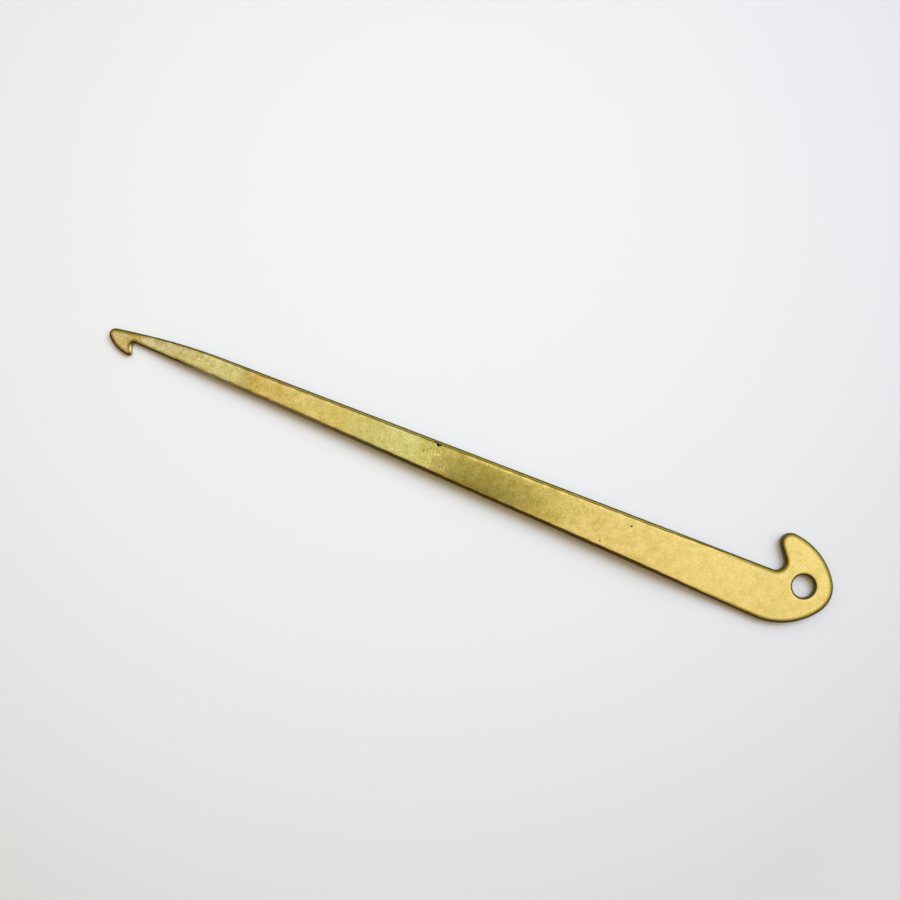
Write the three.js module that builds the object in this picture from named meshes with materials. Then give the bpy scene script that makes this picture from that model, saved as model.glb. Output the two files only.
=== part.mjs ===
// Reed hook: the flat brass tool that draws warp threads through the gaps of a weaving reed.
// The whole tool is one blank stamped from brass sheet, so it is one solid with no joints.
// A barb stands under the slim tip. The wide head ends in a large hook with a hanging hole.
import * as THREE from "three";
import { mergeVertices } from "three/addons/utils/BufferGeometryUtils.js";

// Sizes are in millimetres and angles in degrees. The blank is drawn in a sketch frame: its x axis
// is the straight upper edge of the shank, x is 0 at the nose of the tip, and y points up across
// the blade. "Drop" and "depth" are distances below that upper edge.
const OVERALL_LENGTH = 152.4;
const SHEET_THICKNESS = 1.6;

// Head: a round boss about the hanging hole, a hooked prong above it and a full belly below.
const HOLE_DIAMETER = 4.4;
const HOLE_DROP = 1.0;
const BOSS_RADIUS = 5.65;
const BACK_RADIUS = 12.5;
const BELLY_RADIUS = 13.2;
const PRONG_HEIGHT = 8.0;
const PRONG_SETBACK = 5.0;
const PRONG_TIP_RADIUS = 2.0;
const PRONG_LEAN = 36;
const THROAT_RADIUS = 1.7;

// Shank: a straight upper edge, and a straight lower edge that runs deeper towards the head.
const SHANK_DEPTH_AT_NOSE = 3.2;
const SHANK_DEPTH_AT_HOLE = 10.35;

// Tip: the upper edge curves down to a small round nose, and the front slopes back to the barb.
const TIP_CURVE_RADIUS = 140;
const NOSE_RADIUS = 1.2;
const NOSE_DROP = 3.2;
const FRONT_RADIUS = 7.0;
const BARB_DEPTH = 6.3;
const BARB_SETBACK = 4.9;
const BARB_TIP_RADIUS = 0.6;
const BARB_LEAN = 18;
const NOTCH_RADIUS = 0.5;

// Edges: the press leaves the upper face rounded over, widest along the shank, and the lower face
// only has its burr off.
const EDGE_ROLL_WIDTH = 0.45;
const SHANK_ROLL_WIDTH = 0.8;
const EDGE_ROLL_DEPTH = 0.4;
const EDGE_BREAK = 0.12;
const ROLL_TIP_RUN = 30;
const ROLL_HEAD_RUN = 26;

// Arch: the head and the tip lie flat, and the shank between them stands clear of the table. It
// bends up behind the tip, climbs to a faint crease and lies level from there to the head.
const ARCH_HEIGHT = 1.1;
const TIP_BEND_LIFT = 0.4;
const TIP_BEND_RUN = 12;
const FLAT_BEHIND_NOTCH = 3;
const FLAT_BEFORE_HOOK = 0.5;
const CREASE_SETBACK = 70.6;
const ARCH_HEAD_RUN = 22;

// Fineness of the facets.
const CHORD_ERROR = 0.008;
const WIDEST_ARC_STEP = 15;
const ROLL_STEPS = 4;
const STATION_SPACING = 4;
const SAME_POINT = 0.02;

const RIGHT_ANGLE = Math.PI / 2;

function direction(angle) {
  return new THREE.Vector2(Math.cos(angle), Math.sin(angle));
}

function angleFromTo(from, to) {
  return Math.atan2(to.y - from.y, to.x - from.x);
}

// The point at the given distances from two centres, on the left of the line from a to b.
function meetOnLeft(a, distanceA, b, distanceB) {
  const span = a.distanceTo(b);
  const along = (distanceA ** 2 - distanceB ** 2 + span ** 2) / (2 * span);
  const aside = Math.sqrt(distanceA ** 2 - along ** 2);
  const heading = direction(angleFromTo(a, b));
  return new THREE.Vector2(
    a.x + along * heading.x - aside * heading.y,
    a.y + along * heading.y + aside * heading.x,
  );
}

// An outer arc bulges out of the metal and an inner arc cuts into it. Both are given by the angle
// of the edge's outward normal where they start and where they end, going counter-clockwise.
function outerArc(centre, radius, start, end) {
  let stop = end;
  while (stop < start) stop += 2 * Math.PI;
  while (stop > start + 2 * Math.PI) stop -= 2 * Math.PI;
  return { centre, radius, side: 1, start, stop };
}

function innerArc(centre, radius, start, end) {
  let stop = end;
  while (stop > start) stop -= 2 * Math.PI;
  while (stop < start - 2 * Math.PI) stop += 2 * Math.PI;
  return { centre, radius, side: -1, start, stop };
}

// Edge points with their outward normals. The straight runs lie between one arc and the next.
function edgePoints(arc) {
  const finest = 2 * Math.acos(1 - CHORD_ERROR / arc.radius);
  const step = Math.min(finest, THREE.MathUtils.degToRad(WIDEST_ARC_STEP));
  const steps = Math.max(2, Math.ceil(Math.abs(arc.stop - arc.start) / step));
  return Array.from({ length: steps + 1 }, (_, i) => {
    const normal = direction(arc.start + ((arc.stop - arc.start) * i) / steps);
    const point = arc.centre.clone().addScaledVector(normal, arc.side * arc.radius);
    return { point, normal };
  });
}

const hole = new THREE.Vector2(OVERALL_LENGTH - BOSS_RADIUS, -HOLE_DROP);

// The lower edge is a straight line through the shank's two depths.
const lowerStart = new THREE.Vector2(0, -SHANK_DEPTH_AT_NOSE);
const lowerEnd = new THREE.Vector2(hole.x, -SHANK_DEPTH_AT_HOLE);
const lowerHeading = angleFromTo(lowerStart, lowerEnd);
const lowerNormal = lowerHeading - RIGHT_ANGLE;

function heightAboveLowerEdge(point) {
  return -point.clone().sub(lowerStart).dot(direction(lowerNormal));
}

// Head arcs. The back touches the boss and the prong's tip from outside them, the belly touches
// the boss and the lower edge, and the throat rounds the corner of the prong and the upper edge.
function headArcs() {
  const prongTip = new THREE.Vector2(
    hole.x - PRONG_SETBACK,
    PRONG_HEIGHT - PRONG_TIP_RADIUS,
  );
  const back = meetOnLeft(
    hole,
    BACK_RADIUS - BOSS_RADIUS,
    prongTip,
    BACK_RADIUS - PRONG_TIP_RADIUS,
  );
  const bellyRise = BELLY_RADIUS - heightAboveLowerEdge(hole);
  const bellyRun = Math.sqrt((BELLY_RADIUS - BOSS_RADIUS) ** 2 - bellyRise ** 2);
  const belly = hole
    .clone()
    .addScaledVector(direction(lowerNormal), -bellyRise)
    .addScaledVector(direction(lowerHeading), -bellyRun);

  const flankHeading = RIGHT_ANGLE + THREE.MathUtils.degToRad(PRONG_LEAN);
  const flankNormal = flankHeading + RIGHT_ANGLE;
  const throat = prongTip
    .clone()
    .addScaledVector(direction(flankNormal), PRONG_TIP_RADIUS + THROAT_RADIUS);
  const flankLength = (throat.y - THROAT_RADIUS) / direction(flankHeading).y;
  throat.addScaledVector(direction(flankHeading), -flankLength);

  return {
    innermost: Math.min(prongTip.x - PRONG_TIP_RADIUS, throat.x),
    belly: outerArc(belly, BELLY_RADIUS, lowerNormal, angleFromTo(belly, hole)),
    rest: [
      outerArc(hole, BOSS_RADIUS, angleFromTo(belly, hole), angleFromTo(back, hole)),
      outerArc(
        back,
        BACK_RADIUS,
        angleFromTo(back, hole),
        angleFromTo(back, prongTip),
      ),
      outerArc(
        prongTip,
        PRONG_TIP_RADIUS,
        angleFromTo(back, prongTip),
        flankNormal,
      ),
      innerArc(throat, THROAT_RADIUS, flankNormal, RIGHT_ANGLE),
    ],
  };
}

// Tip arcs. The long curve touches the upper edge and the nose, the front touches the nose and the
// barb's tip, and the notch rounds the corner of the barb and the lower edge.
function tipArcs() {
  const nose = new THREE.Vector2(NOSE_RADIUS, -NOSE_DROP);
  const curveRise = TIP_CURVE_RADIUS - NOSE_DROP;
  const curveRun = Math.sqrt((TIP_CURVE_RADIUS - NOSE_RADIUS) ** 2 - curveRise ** 2);
  const curve = new THREE.Vector2(nose.x + curveRun, -TIP_CURVE_RADIUS);
  const barbTip = new THREE.Vector2(BARB_SETBACK, BARB_TIP_RADIUS - BARB_DEPTH);
  const front = meetOnLeft(
    nose,
    FRONT_RADIUS - NOSE_RADIUS,
    barbTip,
    FRONT_RADIUS - BARB_TIP_RADIUS,
  );

  const flankHeading = RIGHT_ANGLE + THREE.MathUtils.degToRad(BARB_LEAN);
  const flankNormal = flankHeading - RIGHT_ANGLE;
  const notch = barbTip
    .clone()
    .addScaledVector(direction(flankNormal), BARB_TIP_RADIUS + NOTCH_RADIUS);
  const climb = -NOTCH_RADIUS - heightAboveLowerEdge(notch);
  const climbRate = Math.sin(flankHeading - lowerHeading);
  notch.addScaledVector(direction(flankHeading), climb / climbRate);

  return {
    innermost: notch.x,
    all: [
      outerArc(curve, TIP_CURVE_RADIUS, RIGHT_ANGLE, angleFromTo(curve, nose)),
      outerArc(nose, NOSE_RADIUS, angleFromTo(curve, nose), angleFromTo(front, nose)),
      outerArc(
        front,
        FRONT_RADIUS,
        angleFromTo(front, nose),
        angleFromTo(front, barbTip),
      ),
      outerArc(barbTip, BARB_TIP_RADIUS, angleFromTo(front, barbTip), flankNormal),
      innerArc(notch, NOTCH_RADIUS, flankNormal, lowerNormal),
    ],
  };
}

// The outline goes counter-clockwise from the boss, and the hole clockwise, so that the metal is
// on the left of both. Where two arcs touch, they share a point, which is kept once.
function closedLoop(arcs) {
  const points = arcs.flatMap(edgePoints);
  return points.filter((p, i) => {
    const next = points[(i + 1) % points.length];
    return p.point.distanceTo(next.point) > SAME_POINT;
  });
}

const head = headArcs();
const tip = tipArcs();

// The shank bends only at stations, which are set out evenly from the tip's flat to the crease
// and from there to the head's flat.
const archStart = tip.innermost + FLAT_BEHIND_NOTCH;
const archEnd = head.innermost - FLAT_BEFORE_HOOK;

function stationsAlong(start, end) {
  const bayCount = Math.ceil((end - start) / STATION_SPACING);
  return Array.from(
    { length: bayCount },
    (_, i) => start + ((end - start) * i) / bayCount,
  );
}

const stations = [
  ...stationsAlong(archStart, CREASE_SETBACK),
  ...stationsAlong(CREASE_SETBACK, archEnd),
  archEnd,
];

// Adds a point to the loop wherever one of its runs passes a station.
function withStationPoints(loop) {
  return loop.flatMap((p, i) => {
    const next = loop[(i + 1) % loop.length];
    const run = next.point.x - p.point.x;
    const between = stations.filter(
      (x) =>
        (x - p.point.x) * Math.sign(run) > SAME_POINT &&
        (next.point.x - x) * Math.sign(run) > SAME_POINT,
    );
    if (run < 0) between.reverse();
    const added = between.map((x) => {
      const share = (x - p.point.x) / run;
      return {
        point: p.point.clone().lerp(next.point, share),
        normal: p.normal.clone().lerp(next.normal, share).normalize(),
      };
    });
    return [p, ...added];
  });
}

const outline = withStationPoints(closedLoop([...head.rest, ...tip.all, head.belly]));
const holeEdge = closedLoop([innerArc(hole, HOLE_DIAMETER / 2, 0, -2 * Math.PI)]);

// The roll is narrow at the tip and at the head, and widens smoothly to its width on the shank.
function rollWidthAt(x) {
  const rise = THREE.MathUtils.smoothstep(x - archStart, 0, ROLL_TIP_RUN);
  const fall = THREE.MathUtils.smoothstep(archEnd - x, 0, ROLL_HEAD_RUN);
  return THREE.MathUtils.lerp(EDGE_ROLL_WIDTH, SHANK_ROLL_WIDTH, rise * fall);
}

// How high the lower face stands above the table.
function archHeightAt(x) {
  const bend = THREE.MathUtils.smoothstep(x - archStart, 0, TIP_BEND_RUN);
  const climbed = (x - archStart) / (CREASE_SETBACK - archStart);
  const climb = THREE.MathUtils.clamp(climbed, 0, 1);
  const fall = THREE.MathUtils.smoothstep(archEnd - x, 0, ARCH_HEAD_RUN);
  return (TIP_BEND_LIFT * bend + (ARCH_HEIGHT - TIP_BEND_LIFT) * climb) * fall;
}

// The section of every edge, from the lower face round to the upper face: how far it stands in
// from the full outline, in millimetres and in shares of the roll's width, and how high it is.
const edgeSection = [
  { inset: EDGE_BREAK, rollShare: 0, z: 0 },
  { inset: 0, rollShare: 0, z: EDGE_BREAK },
  ...Array.from({ length: ROLL_STEPS + 1 }, (_, i) => {
    const turn = (RIGHT_ANGLE * i) / ROLL_STEPS;
    return {
      inset: 0,
      rollShare: 1 - Math.cos(turn),
      z: SHEET_THICKNESS - EDGE_ROLL_DEPTH * (1 - Math.sin(turn)),
    };
  }),
];

function ring(loop, { inset, rollShare, z }) {
  return loop.map(({ point, normal }) => {
    const standsIn = inset + rollShare * rollWidthAt(point.x);
    const moved = point.clone().addScaledVector(normal, -standsIn);
    return new THREE.Vector3(moved.x, moved.y, z);
  });
}

// Triangles of the edges: the section is swept round the outline and round the hole.
function edgeTriangles(loop) {
  const rings = edgeSection.map((corner) => ring(loop, corner));
  return rings.slice(1).flatMap((high, r) =>
    high.flatMap((_, i) => {
      const low = rings[r];
      const next = (i + 1) % loop.length;
      return [
        [low[i], low[next], high[next]],
        [low[i], high[next], high[i]],
      ];
    }),
  );
}

// Triangles of the lower or the upper face, one bay at a time. The last bay is the head, with its
// hole, and the first is the tip.
function faceTriangles(corner, facesUp) {
  const rim = ring(outline, corner);
  const holeRim = ring(holeEdge, corner);
  const bounds = [-Infinity, ...stations, Infinity];
  return bounds.slice(1).flatMap((high, i) => {
    const low = bounds[i];
    const bay = rim.filter((_, k) => {
      const { x } = outline[k].point;
      return x > low - SAME_POINT && x < high + SAME_POINT;
    });
    const holes = high === Infinity ? [holeRim] : [];
    const corners = [...bay, ...holes.flat()];
    return THREE.ShapeUtils.triangulateShape(bay, holes).map(([a, b, c]) =>
      (facesUp ? [a, b, c] : [a, c, b]).map((k) => corners[k]),
    );
  });
}

function archedBlank() {
  const triangles = [
    ...edgeTriangles(outline),
    ...edgeTriangles(holeEdge),
    ...faceTriangles(edgeSection[0], false),
    ...faceTriangles(edgeSection.at(-1), true),
  ];
  const corners = triangles
    .flat()
    .map((v) => new THREE.Vector3(v.x, v.y, v.z + archHeightAt(v.x)));
  const geometry = mergeVertices(new THREE.BufferGeometry().setFromPoints(corners));
  geometry.computeVertexNormals();
  return geometry;
}

const brass = new THREE.MeshStandardMaterial({
  color: 0xd9bf6c,
  metalness: 1,
  roughness: 0.38,
});

const blade = new THREE.Mesh(archedBlank(), brass);
blade.name = "hook_blade";

// The tool lies with its length along x. The origin is under the middle of its bounding box.
blade.geometry.computeBoundingBox();
const box = blade.geometry.boundingBox;
blade.position.set(-(box.min.x + box.max.x) / 2, -(box.min.y + box.max.y) / 2, -box.min.z);

const reedHook = new THREE.Group();
reedHook.add(blade);

export default reedHook;
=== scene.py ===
import math

import bpy
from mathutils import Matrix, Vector
from mathutils.kdtree import KDTree


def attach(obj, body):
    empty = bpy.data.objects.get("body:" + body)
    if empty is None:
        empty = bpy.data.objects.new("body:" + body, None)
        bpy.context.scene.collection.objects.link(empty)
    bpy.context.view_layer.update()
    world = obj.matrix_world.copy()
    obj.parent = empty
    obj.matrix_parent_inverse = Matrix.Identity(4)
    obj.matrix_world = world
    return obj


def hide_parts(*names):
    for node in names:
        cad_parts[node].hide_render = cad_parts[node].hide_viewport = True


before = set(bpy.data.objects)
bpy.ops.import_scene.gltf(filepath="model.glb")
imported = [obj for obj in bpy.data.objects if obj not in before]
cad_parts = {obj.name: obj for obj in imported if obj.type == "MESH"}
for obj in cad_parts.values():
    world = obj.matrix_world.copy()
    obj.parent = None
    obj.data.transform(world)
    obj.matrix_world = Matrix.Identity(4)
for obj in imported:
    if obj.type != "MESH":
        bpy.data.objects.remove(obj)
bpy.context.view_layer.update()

# Blank: one piece stamped from hard brass sheet about 1.6 mm thick, with its barb, its hook and
# its hanging hole. It starts as a copy of the solid with the arch pressed out of it, so that the
# modelling below is done on a flat sheet, as the press does it.
MM = 0.001
NOSE_X = -76.2018 * MM
ARCH_START = NOSE_X + 8.494 * MM
CREASE = NOSE_X + 70.6 * MM
ARCH_END = NOSE_X + 139.25 * MM
ARCH_HEIGHT = 1.1 * MM
TIP_BEND_LIFT = 0.4 * MM
TIP_BEND_RUN = 12 * MM
ARCH_HEAD_RUN = 22 * MM
WELD_DISTANCE = 0.002 * MM
FLAT_NORMAL = 0.999


def eased(distance, run):
    share = min(max(distance / run, 0), 1)
    return share * share * (3 - 2 * share)


def arch_height(x):
    bend = TIP_BEND_LIFT * eased(x - ARCH_START, TIP_BEND_RUN)
    climb = min(max((x - ARCH_START) / (CREASE - ARCH_START), 0), 1)
    return (bend + (ARCH_HEIGHT - TIP_BEND_LIFT) * climb) * eased(ARCH_END - x, ARCH_HEAD_RUN)


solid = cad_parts["hook_blade"]
blade = bpy.data.objects.new("brass_blade", solid.data.copy())
bpy.context.collection.objects.link(blade)
for vertex in blade.data.vertices:
    vertex.co.z -= arch_height(vertex.co.x)
bpy.ops.object.select_all(action="DESELECT")
blade.select_set(True)
bpy.context.view_layer.objects.active = blade
bpy.ops.object.mode_set(mode="EDIT")
bpy.ops.mesh.select_mode(type="FACE")
bpy.ops.mesh.select_all(action="SELECT")
bpy.ops.mesh.customdata_custom_splitnormals_clear()
bpy.ops.mesh.remove_doubles(threshold=WELD_DISTANCE)
bpy.ops.mesh.delete_loose()
bpy.ops.object.mode_set(mode="OBJECT")

# Each broad face gets a ring of its own inside its outline, over which the tarnish of the edge
# fades out. At the sharp end of the barb the ring's inner line runs to a single point.
RING_WIDTH = 0.45 * MM
BARB_END = Vector((-71.3, -4.68)) * MM
BARB_END_REACH = 0.4 * MM


def select_outline():
    bpy.ops.mesh.select_non_manifold(extend=False, use_wire=False, use_multi_face=False,
                                     use_non_contiguous=False, use_verts=False)


for side in (1, -1):
    for face in blade.data.polygons:
        face.select = face.normal.z * side > FLAT_NORMAL
    bpy.ops.object.mode_set(mode="EDIT")
    bpy.ops.mesh.inset(thickness=RING_WIDTH, use_boundary=True, use_even_offset=True)
    bpy.ops.mesh.delete(type="FACE")
    bpy.ops.mesh.select_mode(type="VERT")
    select_outline()
    bpy.ops.object.mode_set(mode="OBJECT")
    crowded = [vertex for vertex in blade.data.vertices
               if vertex.select and (vertex.co.xy - BARB_END).length < BARB_END_REACH]
    for element in (*blade.data.vertices, *blade.data.edges):
        element.select = False
    for vertex in crowded:
        vertex.select = True
    bpy.ops.object.mode_set(mode="EDIT")
    bpy.ops.mesh.merge(type="CENTER")
    bpy.ops.mesh.select_mode(type="EDGE")
    select_outline()
    bpy.ops.mesh.fill()
    bpy.ops.mesh.select_mode(type="FACE")
    bpy.ops.mesh.select_all(action="SELECT")
    bpy.ops.mesh.normals_make_consistent(inside=False)
    bpy.ops.mesh.select_all(action="DESELECT")
    bpy.ops.object.mode_set(mode="OBJECT")

# The shank is cut across into narrow strips, so that the arch bends it smoothly.
STRIP_WIDTH = 1.0 * MM
strips = round((ARCH_END - ARCH_START) / STRIP_WIDTH)
bpy.ops.object.mode_set(mode="EDIT")
for i in range(strips + 1):
    bpy.ops.mesh.select_all(action="SELECT")
    bpy.ops.mesh.bisect(plane_co=(ARCH_START + i * STRIP_WIDTH, 0, 0), plane_no=(1, 0, 0))
bpy.ops.mesh.select_all(action="DESELECT")
bpy.ops.object.mode_set(mode="OBJECT")

# Wear and painted light are worked out for every point of the whole blank, and put on once the
# marks are cut. Edge tells how far round the edge a point lies: 0 on the faces, 1 where the roll
# meets the wall, 2 at the foot of the wall. The hole's edge is painted lighter on the head's side
# and darker on the lower one, for how the light falls on it.
SHEET_TOP = 1.6 * MM
ROLL_DEPTH = 0.4 * MM
HOLE_AT = Vector((70.55, 0.016)) * MM
HOLE_REACH = 3.0 * MM
HOLE_LIGHTER_RIGHT = 0.3
HOLE_DARKER_BELOW = 0.18


def round_roll(point):
    down = min(max((SHEET_TOP - point.z) / ROLL_DEPTH, 0), 1)
    share = math.sqrt(1 - (1 - down) ** 2)
    from_hole = point.xy - HOLE_AT
    if from_hole.length < HOLE_REACH:
        from_hole.normalize()
        # Painted light and shade: the hole's roll is painted lighter to the right and darker below.
        side_light = HOLE_LIGHTER_RIGHT * max(from_hole.x, 0) + HOLE_DARKER_BELOW * min(from_hole.y, 0)
        share = max(0, (share - side_light) / (1 - side_light))
    return share


def round_edge(point):
    below = min(max((SHEET_TOP - ROLL_DEPTH - point.z) / (SHEET_TOP - ROLL_DEPTH), 0), 1)
    return round_roll(point) + below


# Rim tells how strongly the ring inside the edge is darkened: fully at the head, nearly so at the
# nose, a little along the tip and by the nick, and not on the rest of the shank. Rubbed tells where
# a painted highlight runs along the roll, as on a roll rubbed bright by a hand: all along the upper
# edge of the shank, and on the lower edge more and more towards the tip.
RIM_AT_TIP = 0.3
RIM_TIP_FROM = -51 * MM
RIM_TIP_RUN = 8 * MM
RIM_AT_NOSE = 0.5
RIM_NOSE_FROM = -68 * MM
RIM_NOSE_RUN = 4 * MM
RIM_HEAD_FROM = 47 * MM
RIM_HEAD_RUN = 18 * MM
RIM_AT_NICK = 0.35
RIM_NICK_FROM = -13 * MM
RIM_NICK_TO = 4 * MM
RIM_NICK_RUN = 6 * MM
RIM_ON_ROLL = 0.6
RUBBED_HIGHLIGHT_FROM = -62 * MM
RUBBED_HIGHLIGHT_TO = 50 * MM
RUBBED_HIGHLIGHT_RUN = 8 * MM
RUBBED_HIGHLIGHT_BELOW_TO = -6 * MM
RUBBED_HIGHLIGHT_BELOW_RUN = 50 * MM
on_edge = set()
for face in blade.data.polygons:
    if abs(face.normal.z) < FLAT_NORMAL:
        on_edge.update(face.vertices)
whole_points = KDTree(len(blade.data.vertices))
wear_and_light = []
for vertex in blade.data.vertices:
    x = vertex.co.x
    rubbed_highlight_share = eased(x - RUBBED_HIGHLIGHT_FROM, RUBBED_HIGHLIGHT_RUN)
    rim = RIM_AT_TIP * eased(RIM_TIP_FROM - x, RIM_TIP_RUN)
    rim += RIM_AT_NOSE * eased(RIM_NOSE_FROM - x, RIM_NOSE_RUN)
    rim += eased(x - RIM_HEAD_FROM, RIM_HEAD_RUN)
    if vertex.normal.y > 0:
        above = rubbed_highlight_share * eased(RUBBED_HIGHLIGHT_TO - x, RUBBED_HIGHLIGHT_RUN)
        below = 0
        near_nick = eased(x - RIM_NICK_FROM, RIM_NICK_RUN) * eased(RIM_NICK_TO - x, RIM_NICK_RUN)
        rim += RIM_AT_NICK * near_nick
    else:
        above = 0
        below = rubbed_highlight_share * eased(RUBBED_HIGHLIGHT_BELOW_TO - x, RUBBED_HIGHLIGHT_BELOW_RUN)
    if (vertex.co.xy - HOLE_AT).length < HOLE_REACH:
        rim = 0
    rim *= max(0, 1 - round_roll(vertex.co) / RIM_ON_ROLL)
    if vertex.index in on_edge:
        wear_and_light.append((round_edge(vertex.co), rim, above, below))
    else:
        wear_and_light.append((0, 0, above, below))
    whole_points.insert(vertex.co, vertex.index)
whole_points.balance()

# Marks of use: a nick at the upper edge, where the shank was once bent a little, and small pits.
# Each is (x, y, radius, depth, turn) in millimetres and degrees, and is cut by a pointed cone that
# stands half out of the sheet. The first five make the nick.
CONE_SIDES = 5
marks = [
    (-5.60, 0.26, 0.36, 0.36, 25),
    (-5.38, 0.06, 0.22, 0.24, 60),
    (-5.08, 0.28, 0.24, 0.26, 50),
    (-6.06, 0.46, 0.22, 0.22, 10),
    (-6.45, 0.58, 0.13, 0.13, 40),
    (35.4, -1.10, 0.24, 0.24, 10),
    (30.6, -5.95, 0.16, 0.16, 40),
    (68.2, 4.55, 0.11, 0.11, 0),
    (67.3, -2.70, 0.09, 0.09, 30),
]


def cut_out(cutter):
    cut = blade.modifiers.new("cut", "BOOLEAN")
    cut.operation = "DIFFERENCE"
    cut.object = cutter
    bpy.context.view_layer.objects.active = blade
    bpy.ops.object.modifier_apply(modifier=cut.name)
    bpy.data.meshes.remove(cutter.data)


for x, y, radius, depth, turn in marks:
    bpy.ops.object.select_all(action="DESELECT")
    bpy.ops.mesh.primitive_cone_add(
        vertices=CONE_SIDES, radius1=0, radius2=2 * radius * MM, depth=2 * depth * MM,
        location=(x * MM, y * MM, SHEET_TOP), rotation=(0, 0, math.radians(turn)))
    cut_out(bpy.context.object)

# Shallow wrinkles run across the sheet beside the crease: (x, y, length, width, depth, turn) of
# each, in millimetres and degrees. Each is the mark of a long ball pressed a little way in, and
# its length and width are this share of the ball's.
BALL_SHARE = 0.6
BALL_SEGMENTS = 20
BALL_RINGS = 24
wrinkles = [
    (-5.95, -2.35, 3.4, 0.50, 0.049, 4),
    (-6.50, -2.00, 2.4, 0.45, 0.047, 5),
    (-7.10, -2.05, 1.8, 0.50, 0.046, 6),
    (-5.45, -1.20, 1.6, 0.45, 0.042, 2),
    (-4.90, -1.30, 1.2, 0.45, 0.032, 0),
    (-3.05, -3.70, 1.4, 0.50, 0.012, 4),
    (-3.60, -4.00, 1.1, 0.45, 0.010, 8),
    (-7.80, -2.30, 1.6, 0.55, 0.036, 10),
]
for x, y, length, width, depth, turn in wrinkles:
    bpy.ops.object.select_all(action="DESELECT")
    ball_height = depth / (1 - math.sqrt(1 - BALL_SHARE ** 2))
    bpy.ops.mesh.primitive_uv_sphere_add(
        segments=BALL_SEGMENTS, ring_count=BALL_RINGS, radius=MM, rotation=(0, 0, math.radians(turn)),
        location=(x * MM, y * MM, SHEET_TOP + (ball_height - depth) * MM),
        scale=(width / 2 / BALL_SHARE, length / 2 / BALL_SHARE, ball_height))
    cut_out(bpy.context.object)

# The wear and painted light go on. Of the points that the cuts have made, those inside the pits
# and the nick count as tarnished to their depth, and the rest as untarnished.
MARK_REACH = 2.0


def in_a_mark(point):
    if point.z >= SHEET_TOP - WELD_DISTANCE:
        return False
    for x, y, radius, depth, turn in marks:
        if (point.xy - Vector((x, y)) * MM).length < MARK_REACH * radius * MM:
            return True
    return False


wear_and_light_now = []
for vertex in blade.data.vertices:
    index, gap = whole_points.find(vertex.co)[1:]
    if gap < WELD_DISTANCE:
        wear_and_light_now.append(wear_and_light[index])
    elif in_a_mark(vertex.co):
        wear_and_light_now.append((round_edge(vertex.co), 0, 0, 0))
    else:
        wear_and_light_now.append((0, 0, 0, 0))
for name, values in zip(("edge", "rim", "rubbed_highlight", "rubbed_highlight_below"), zip(*wear_and_light_now)):
    blade.data.attributes.new(name, "FLOAT", "POINT").data.foreach_set("value", values)

# The tip is ground thinner towards its nose, which draws the nose out a little. Then the arch is
# pressed back in, and the normals follow the broad faces, so that they stay flat.
THIN_FROM = -60 * MM
THIN_RUN = 15 * MM
THINNING = 0.36
DRAWN_OUT = 0.22 * MM
DRAWN_FROM = -70.5 * MM
DRAWN_RUN = 5 * MM
SMOOTH_BELOW = math.radians(35)
for vertex in blade.data.vertices:
    thinned = eased(THIN_FROM - vertex.co.x, THIN_RUN)
    vertex.co.z = vertex.co.z * (1 - THINNING * thinned) + arch_height(vertex.co.x)
    vertex.co.x -= DRAWN_OUT * eased(DRAWN_FROM - vertex.co.x, DRAWN_RUN)
bpy.ops.object.select_all(action="DESELECT")
blade.select_set(True)
bpy.context.view_layer.objects.active = blade
bpy.ops.object.shade_smooth_by_angle(angle=SMOOTH_BELOW)
weighted = blade.modifiers.new("flat_faces", "WEIGHTED_NORMAL")
weighted.keep_sharp = True
bpy.ops.object.modifier_apply(modifier=weighted.name)


# Brass finish: sheet brass, tumbled to a fine satin and gone a little uneven with handling. It
# reads as warm yellow with faint greener and redder clouds, paler along the tip, partly by painted
# light. The pits keep the brown tarnish that the tumbling doesn't reach, and the rolled edges carry
# that tarnish together with painted shade and a painted highlight line.
def linear(hex_colour):
    channels = [int(hex_colour[i:i + 2], 16) / 255 for i in (1, 3, 5)]
    return [c / 12.92 if c <= 0.04045 else ((c + 0.055) / 1.055) ** 2.4 for c in channels] + [1.0]


def add(tree, kind, settings=None, inputs=None):
    node = tree.nodes.new(kind)
    for name, value in (settings or {}).items():
        setattr(node, name, value)
    for name, value in (inputs or {}).items():
        if isinstance(value, bpy.types.NodeSocket):
            tree.links.new(value, node.inputs[name])
        else:
            node.inputs[name].default_value = value
    return node


def set_stops(ramp, stops):
    while len(ramp.elements) > 1:
        ramp.elements.remove(ramp.elements[-1])
    ramp.elements[0].position = stops[0][0]
    ramp.elements[0].color = linear(stops[0][1])
    for place, colour in stops[1:]:
        ramp.elements.new(place).color = linear(colour)


# Tints along the blade, as (millimetres from its middle, colour), in clouds that wander a little.
# They are the brass's own tone and painted light as well: some are set lighter or darker to stand
# for how brightly the faces mirror the room at that place.
TINTS = [
    (-74, "#EADCA7"), (-68, "#ECF0CC"), (-60, "#E8E3AE"), (-53, "#E9EBAE"), (-48, "#D5CD8E"),
    (-43, "#E4D082"), (-36, "#E7DB94"), (-23, "#E9DE8F"), (-18, "#DEDD98"), (-13, "#E3EBA4"),
    (-8, "#E9E294"), (-2, "#E9E085"), (7, "#E8DE7C"), (17, "#E9DE84"), (30, "#ECDF98"),
    (60, "#ECE09A"),
]
TINTS_FROM = -74
TINTS_TO = 76
TINT_WANDER = 4.0
CLOUD_SIZE = 9.0
CLOUD_LOW = 0.3
CLOUD_HIGH = 0.7

brass = bpy.data.materials.new("satin_sheet_brass")
brass.use_nodes = True
tree = brass.node_tree
surface = tree.nodes["Principled BSDF"]
surface.inputs["Metallic"].default_value = 1.0

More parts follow.
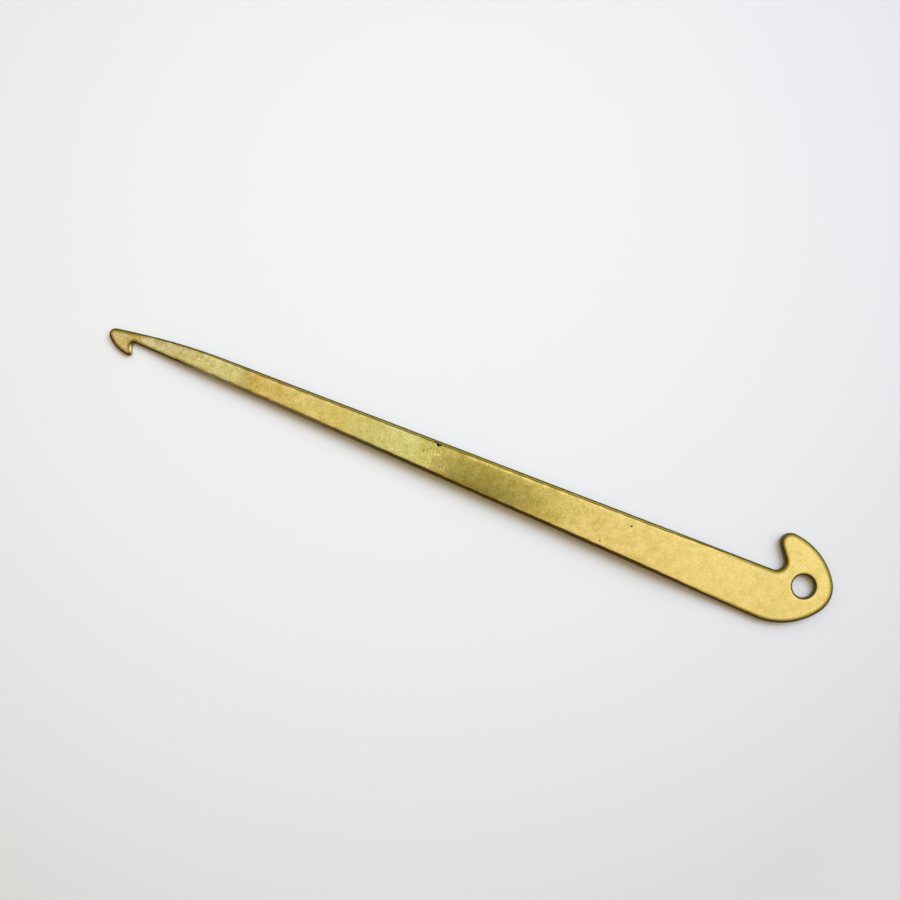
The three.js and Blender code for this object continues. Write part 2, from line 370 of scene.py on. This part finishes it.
place = add(tree, "ShaderNodeTexCoord").outputs["Object"]
wander = add(tree, "ShaderNodeTexNoise", inputs={
    "Vector": place, "Scale": 1 / (CLOUD_SIZE * MM), "Detail": 2.0})
shift = add(tree, "ShaderNodeMapRange", inputs={
    "Value": wander.outputs["Fac"], "From Min": CLOUD_LOW, "From Max": CLOUD_HIGH,
    "To Min": -TINT_WANDER * MM, "To Max": TINT_WANDER * MM})
along_blade = add(tree, "ShaderNodeSeparateXYZ", inputs={"Vector": place}).outputs["X"]
along = add(tree, "ShaderNodeMath", {"operation": "ADD"}, {0: along_blade, 1: shift.outputs["Result"]})
along = add(tree, "ShaderNodeMapRange", inputs={
    "Value": along.outputs["Value"], "From Min": TINTS_FROM * MM, "From Max": TINTS_TO * MM})
tint = add(tree, "ShaderNodeValToRGB", inputs={"Fac": along.outputs["Result"]})
tints_length = TINTS_TO - TINTS_FROM
set_stops(tint.color_ramp, [((x - TINTS_FROM) / tints_length, colour) for x, colour in TINTS])

# Blotches of one to three millimetres lean to green or to pink, most of all at the tip.
BLOTCH_SIZE = 2.0
LEAN_STOPS = [(0.32, "#ECF2E4"), (0.5, "#F8F7F2"), (0.68, "#FFF1EA")]
LEAN_AT_TIP = 1.0
LEAN_ELSEWHERE = 0.3
LEAN_FADES_FROM = -55 * MM
LEAN_FADES_TO = -40 * MM
blotch = add(tree, "ShaderNodeTexNoise", inputs={
    "Vector": place, "Scale": 1 / (BLOTCH_SIZE * MM), "Detail": 3.0, "Roughness": 0.6})
lean = add(tree, "ShaderNodeValToRGB", inputs={"Fac": blotch.outputs["Fac"]})
set_stops(lean.color_ramp, LEAN_STOPS)
strength = add(tree, "ShaderNodeMapRange", inputs={
    "Value": along_blade, "From Min": LEAN_FADES_FROM, "From Max": LEAN_FADES_TO,
    "To Min": LEAN_AT_TIP, "To Max": LEAN_ELSEWHERE})
colour = add(tree, "ShaderNodeMix", {"data_type": "RGBA", "blend_type": "MULTIPLY"}, {
    "Factor": strength.outputs["Result"], 6: tint.outputs["Color"], 7: lean.outputs["Color"]})

# The grain left by tumbling is a little coarser than the real one, so that it shows. Its light
# grains are paler as well as lighter. It is strongest at the tip and weakest on the head.
GRAIN_SIZE = 2.0
SPECK_SIZE = 0.22
GRAIN_SHARE = 1.3
NOISE_MEAN = 0.5
GRAIN_ON_SHANK = 0.7
GRAIN_ON_HEAD = 0.38
SHANK_GRAIN_TO = 20 * MM
HEAD_GRAIN_FROM = 50 * MM
GRAIN_MORE_AT_TIP = 1.35
TIP_GRAIN_TO = -57 * MM
SHANK_GRAIN_FROM = -48 * MM
GRAIN_TINT = (0.9, 1.1, 2.5)
GRAIN_BUMP = 0.0005
grain = add(tree, "ShaderNodeTexNoise", inputs={
    "Vector": place, "Scale": 1 / (GRAIN_SIZE * MM), "Detail": 3.0, "Roughness": 0.95})
specks = add(tree, "ShaderNodeTexNoise", inputs={
    "Vector": place, "Scale": 1 / (SPECK_SIZE * MM), "Detail": 1.0})
grains = add(tree, "ShaderNodeMath", {"operation": "MULTIPLY_ADD"}, {
    0: grain.outputs["Fac"], 1: GRAIN_SHARE, 2: specks.outputs["Fac"]})
grains = add(tree, "ShaderNodeMath", {"operation": "SUBTRACT"}, {
    0: grains.outputs["Value"], 1: NOISE_MEAN * (1 + GRAIN_SHARE)})
strength = add(tree, "ShaderNodeMapRange", inputs={
    "Value": along_blade, "From Min": SHANK_GRAIN_TO, "From Max": HEAD_GRAIN_FROM,
    "To Min": GRAIN_ON_SHANK, "To Max": GRAIN_ON_HEAD})
grains = add(tree, "ShaderNodeMath", {"operation": "MULTIPLY"}, {
    0: grains.outputs["Value"], 1: strength.outputs["Result"]})
strength = add(tree, "ShaderNodeMapRange", inputs={
    "Value": along_blade, "From Min": TIP_GRAIN_TO, "From Max": SHANK_GRAIN_FROM,
    "To Min": GRAIN_MORE_AT_TIP, "To Max": 1.0})
grains = add(tree, "ShaderNodeMath", {"operation": "MULTIPLY"}, {
    0: grains.outputs["Value"], 1: strength.outputs["Result"]})
grains = add(tree, "ShaderNodeVectorMath", {"operation": "MULTIPLY_ADD"}, {
    0: grains.outputs["Value"], 1: GRAIN_TINT, 2: (1, 1, 1)})
colour = add(tree, "ShaderNodeVectorMath", {"operation": "MULTIPLY"}, {
    0: colour.outputs[2], 1: grains.outputs["Vector"]})

# Tarnish and painted shade round the edges, by half of the edge value: 0 on the face, 0.5 where
# the roll meets the wall and 1 at the foot of the wall. The rubbed edges get a painted highlight
# added, and the rim's darkening is multiplied in.
# Painted shade: the dark stops stand for the shade and the dark reflections of the roll and the foot
# of the wall, as well as for the tarnish there.
EDGE_STOPS = [
    (0.00, "#FFFFFF"), (0.02, "#FFFFFF"), (0.05, "#F2EFE6"), (0.10, "#C4BCA4"), (0.16, "#6E6A54"),
    (0.25, "#6E6C58"), (0.33, "#706E5C"), (0.40, "#5E5C4A"), (0.48, "#646250"), (0.60, "#7C765C"),
    (0.75, "#928A6C"), (1.00, "#5C563E"),
]
# Painted highlights: light is added along the middle of the roll, for the reflection that a rubbed
# roll shows; the lower one is paler and bluer, as the paper that it mirrors.
RUBBED_HIGHLIGHT_STOPS = [(0.19, "#000000"), (0.25, "#8F806A"), (0.29, "#8F806A"), (0.36, "#000000")]
RUBBED_HIGHLIGHT_BELOW_STOPS = [
    (0.06, "#000000"), (0.12, "#7C80A0"), (0.20, "#C6CCFA"), (0.30, "#C6CCFC"), (0.40, "#9094C0"),
    (0.50, "#000000"),
]
# The rim darkens the ring inside the edge towards these colours.
RIM_STOPS = [(0.0, "#FFFFFF"), (0.33, "#D8D6B6"), (0.78, "#A6A37C"), (1.0, "#928F64")]
edge_share = add(tree, "ShaderNodeAttribute", {"attribute_name": "edge"}).outputs["Fac"]
edge_share = add(tree, "ShaderNodeMath", {"operation": "MULTIPLY"}, {0: edge_share, 1: 0.5})
edge_tarnish_and_shade = add(tree, "ShaderNodeValToRGB", inputs={"Fac": edge_share.outputs["Value"]})
set_stops(edge_tarnish_and_shade.color_ramp, EDGE_STOPS)
rim_share = add(tree, "ShaderNodeAttribute", {"attribute_name": "rim"}).outputs["Fac"]
rim_shade = add(tree, "ShaderNodeValToRGB", inputs={"Fac": rim_share})
set_stops(rim_shade.color_ramp, RIM_STOPS)
edge_tarnish_and_shade = add(tree, "ShaderNodeMix", {"data_type": "RGBA", "blend_type": "MULTIPLY"}, {
    "Factor": 1.0, 6: edge_tarnish_and_shade.outputs["Color"], 7: rim_shade.outputs["Color"]})
# The painted highlight lines are added to the edge's colour here.
for name, stops in (("rubbed_highlight", RUBBED_HIGHLIGHT_STOPS), ("rubbed_highlight_below", RUBBED_HIGHLIGHT_BELOW_STOPS)):
    line = add(tree, "ShaderNodeValToRGB", inputs={"Fac": edge_share.outputs["Value"]})
    set_stops(line.color_ramp, stops)
    rubbed_highlight_share = add(tree, "ShaderNodeAttribute", {"attribute_name": name}).outputs["Fac"]
    edge_tarnish_and_shade = add(tree, "ShaderNodeMix", {"data_type": "RGBA", "blend_type": "ADD"}, {
        "Factor": rubbed_highlight_share, 6: edge_tarnish_and_shade.outputs[2], 7: line.outputs["Color"]})

# Yarn keeps the inner flank of the barb bright.
FLANK_AT = (-70.3 * MM, -3.6 * MM, 1.0 * MM)
FLANK_RADIUS = 1.3 * MM
FLANK_CORE = 0.7
FLANK_BRIGHT = 0.9
flank = add(tree, "ShaderNodeVectorMath", {"operation": "DISTANCE"}, {0: place, 1: FLANK_AT})
flank = add(tree, "ShaderNodeMapRange", inputs={
    "Value": flank.outputs["Value"], "From Min": FLANK_CORE * FLANK_RADIUS, "From Max": FLANK_RADIUS,
    "To Min": FLANK_BRIGHT, "To Max": 0.0})
edge_tarnish_and_shade = add(tree, "ShaderNodeMix", {"data_type": "RGBA"}, {
    "Factor": flank.outputs["Result"], 6: edge_tarnish_and_shade.outputs[2], 7: (1, 1, 1, 1)})
colour = add(tree, "ShaderNodeMix", {"data_type": "RGBA", "blend_type": "MULTIPLY"}, {
    "Factor": 1.0, 6: colour.outputs["Vector"], 7: edge_tarnish_and_shade.outputs[2]})
tree.links.new(colour.outputs[2], surface.inputs["Base Color"])

# The faces and the barb's flank are smooth, and the tarnished edges are duller.
FACE_ROUGH = 0.18
EDGE_ROUGH = 0.42
FLANK_ROUGH = 0.2
EDGE_ROUGH_FROM = 0.05
EDGE_ROUGH_TO = 0.2
rough = add(tree, "ShaderNodeMapRange", inputs={
    "Value": edge_share.outputs["Value"], "From Min": EDGE_ROUGH_FROM, "From Max": EDGE_ROUGH_TO,
    "To Min": FACE_ROUGH, "To Max": EDGE_ROUGH})
rough = add(tree, "ShaderNodeMix", {"data_type": "FLOAT"}, {
    0: flank.outputs["Result"], 2: rough.outputs["Result"], 3: FLANK_ROUGH})
tree.links.new(rough.outputs[0], surface.inputs["Roughness"])
bump = add(tree, "ShaderNodeBump", inputs={
    "Height": grain.outputs["Fac"], "Distance": GRAIN_BUMP * MM, "Strength": 1.0})
tree.links.new(bump.outputs["Normal"], surface.inputs["Normal"])

blade.data.materials.clear()
blade.data.materials.append(brass)
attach(blade, "root")
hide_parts("hook_blade")

# Table: the blade lies on plain matt white paper. A pool of light and shade is painted into its
# colour: a little brighter up and left of the middle of the picture and duller towards its sides.
PAPER_IN_PAINTED_LIGHT = "#F2F4F5"
PAPER_IN_PAINTED_SHADE = "#DADBDD"
PAINTED_LIGHT_AT = (-0.046, 0.022, 0)
PAINTED_SHADE_FROM = 0.15
PAPER_SIDE = 3.0
PAPER_ROUGH = 0.9
PAPER_SPECULAR = 0.2
bpy.ops.object.select_all(action="DESELECT")
bpy.ops.mesh.primitive_plane_add(size=PAPER_SIDE, location=(0, 0, 0))
paper_sheet = bpy.context.object
paper_sheet.name = "paper_table"
paper = bpy.data.materials.new("matt_paper")
paper.use_nodes = True
tree = paper.node_tree
away = add(tree, "ShaderNodeVectorMath", {"operation": "DISTANCE"}, {
    0: add(tree, "ShaderNodeTexCoord").outputs["Object"], 1: PAINTED_LIGHT_AT})
away = add(tree, "ShaderNodeMath", {"operation": "POWER"}, {0: away.outputs["Value"], 1: 2.0})
away = add(tree, "ShaderNodeMapRange", inputs={
    "Value": away.outputs["Value"], "From Max": PAINTED_SHADE_FROM ** 2})
shade = add(tree, "ShaderNodeMix", {"data_type": "RGBA"}, {
    "Factor": away.outputs["Result"], 6: linear(PAPER_IN_PAINTED_LIGHT), 7: linear(PAPER_IN_PAINTED_SHADE)})
surface = tree.nodes["Principled BSDF"]
tree.links.new(shade.outputs[2], surface.inputs["Base Color"])
surface.inputs["Roughness"].default_value = PAPER_ROUGH
surface.inputs["Specular IOR Level"].default_value = PAPER_SPECULAR
paper_sheet.data.materials.append(paper)

# Light: daylight from a broad window on the upper right of the picture, which reaches over the
# ceiling and turns warmer there. The other side of the room is dim and brown.
WINDOW_HEIGHT = math.radians(50)
WINDOW_LEVEL = 1.6
WINDOW_FALL = 2.6
RIGHT_IS_BRIGHTER = 0.42
WINDOW_TINTS = [(0.3, "#F2CC90"), (0.77, "#F6E9CC"), (0.95, "#F6F4EE"), (1.0, "#F2F6FA")]
ROOM_COLOUR = "#F0C780"
# As parts of a direction: where the window's light comes up over the horizon, and where the room
# is dimmest and brightest across the picture.
HORIZON = (0.05, 0.45)
ROOM_SIDES = (0.3, -0.6)
ROOM_LEVELS = (0.08, 0.34)
world = bpy.data.worlds.new("room_daylight")
world.use_nodes = True
bpy.context.scene.world = world
tree = world.node_tree
sky = add(tree, "ShaderNodeTexCoord")
parts = add(tree, "ShaderNodeSeparateXYZ", inputs={"Vector": sky.outputs["Generated"]})
across = add(tree, "ShaderNodeVectorMath", {"operation": "MULTIPLY"},
             {0: sky.outputs["Generated"], 1: (0, 1, 1)})
across = add(tree, "ShaderNodeVectorMath", {"operation": "NORMALIZE"}, {0: across.outputs["Vector"]})
facing = add(tree, "ShaderNodeVectorMath", {"operation": "DOT_PRODUCT"},
             {0: across.outputs["Vector"],
              1: (0, math.cos(WINDOW_HEIGHT), math.sin(WINDOW_HEIGHT))})
facing = add(tree, "ShaderNodeMath", {"operation": "MAXIMUM"}, {0: facing.outputs["Value"], 1: 0.0})
lobe = add(tree, "ShaderNodeMath", {"operation": "POWER"},
           {0: facing.outputs["Value"], 1: WINDOW_FALL})
above = add(tree, "ShaderNodeMapRange", {"interpolation_type": "SMOOTHSTEP"},
            {"Value": parts.outputs["Z"], "From Min": HORIZON[0], "From Max": HORIZON[1]})
side = add(tree, "ShaderNodeMath", {"operation": "MULTIPLY_ADD"},
           {0: parts.outputs["X"], 1: RIGHT_IS_BRIGHTER, 2: 1.0})
lobe = add(tree, "ShaderNodeMath", {"operation": "MULTIPLY"},
           {0: lobe.outputs["Value"], 1: above.outputs["Result"]})
lobe = add(tree, "ShaderNodeMath", {"operation": "MULTIPLY"},
           {0: lobe.outputs["Value"], 1: side.outputs["Value"]})
level = add(tree, "ShaderNodeMath", {"operation": "MULTIPLY"},
            {0: lobe.outputs["Value"], 1: WINDOW_LEVEL})
warmth = add(tree, "ShaderNodeValToRGB", inputs={"Fac": facing.outputs["Value"]})
set_stops(warmth.color_ramp, WINDOW_TINTS)
window = add(tree, "ShaderNodeVectorMath", {"operation": "SCALE"}, {
    0: warmth.outputs["Color"], "Scale": level.outputs["Value"]})
level = add(tree, "ShaderNodeMapRange", inputs={
    "Value": parts.outputs["Y"], "From Min": ROOM_SIDES[0], "From Max": ROOM_SIDES[1],
    "To Min": ROOM_LEVELS[0], "To Max": ROOM_LEVELS[1]})
room = add(tree, "ShaderNodeVectorMath", {"operation": "SCALE"}, {
    0: linear(ROOM_COLOUR)[:3], "Scale": level.outputs["Result"]})
light = add(tree, "ShaderNodeVectorMath", {"operation": "ADD"}, {
    0: window.outputs["Vector"], 1: room.outputs["Vector"]})
tree.links.new(light.outputs["Vector"], tree.nodes["Background"].inputs["Color"])

# A lamp stands for the brightest part of the window. It only throws the shadow and lights the
# paper: what the brass mirrors is the room.
LAMP_AZIMUTH = math.radians(52)
LAMP_HEIGHT = math.radians(46)
LAMP_DISTANCE = 0.8
LAMP_SIDE = 0.5
LAMP_POWER = 2.8
LAMP_COLOUR = (0.72, 0.94, 1.32)
lamp_reach = LAMP_DISTANCE * math.cos(LAMP_HEIGHT)
lamp_at = Vector((lamp_reach * math.cos(LAMP_AZIMUTH), lamp_reach * math.sin(LAMP_AZIMUTH),
                  LAMP_DISTANCE * math.sin(LAMP_HEIGHT)))
bpy.ops.object.light_add(type="AREA", location=lamp_at,
                         rotation=(-lamp_at).to_track_quat("-Z", "Y").to_euler())
lamp = bpy.context.object
lamp.name = "window_lamp"
lamp.data.shape = "SQUARE"
lamp.data.size = LAMP_SIDE
lamp.data.energy = LAMP_POWER
lamp.data.color = LAMP_COLOUR
lamp.visible_camera = False
lamp.visible_glossy = False

# Camera: held 200 mm above the table, nearly square to it and turned by 21 degrees, as the blade
# lies across the picture.
CAMERA_AT = Vector((0.0089, -0.0090, 0.1992))
CAMERA_TURN = [math.radians(a) for a in (3.719, 2.286, 21.136)]
FOCAL_LENGTH = 40
SENSOR_WIDTH = 36
NEAREST_SEEN = 0.01
bpy.ops.object.camera_add(location=CAMERA_AT, rotation=CAMERA_TURN)
camera = bpy.context.object
camera.data.sensor_width = SENSOR_WIDTH
camera.data.lens = FOCAL_LENGTH
camera.data.clip_start = NEAREST_SEEN
bpy.context.scene.camera = camera
bpy.context.scene.view_settings.view_transform = "Standard"

# Camera body: dull black plastic, a little above the lens, with the brown light from what is round
# it painted into its colour. It shows as a dark patch in the brass, so a card stands for it, with
# corners measured from the lens.
BODY_ABOVE = 0.006
BODY_CORNERS = [(-0.030, -0.016), (-0.002, -0.016), (-0.027, 0.019), (0.026, 0.016)]
BODY_PAINTED_LIT_COLOUR = "#443620"
BODY_ROUGH = 0.6
bpy.ops.object.select_all(action="DESELECT")
bpy.ops.mesh.primitive_plane_add(size=1)
camera_body = bpy.context.object
camera_body.name = "camera_body"
for vertex, (x, y) in zip(camera_body.data.vertices, BODY_CORNERS):
    vertex.co = CAMERA_AT + Vector((x, y, BODY_ABOVE))
camera_body.visible_camera = False
black_painted_lit = bpy.data.materials.new("black_painted_lit_plastic")
black_painted_lit.use_nodes = True
surface = black_painted_lit.node_tree.nodes["Principled BSDF"]
surface.inputs["Base Color"].default_value = linear(BODY_PAINTED_LIT_COLOUR)
surface.inputs["Roughness"].default_value = BODY_ROUGH
camera_body.data.materials.append(black_painted_lit)
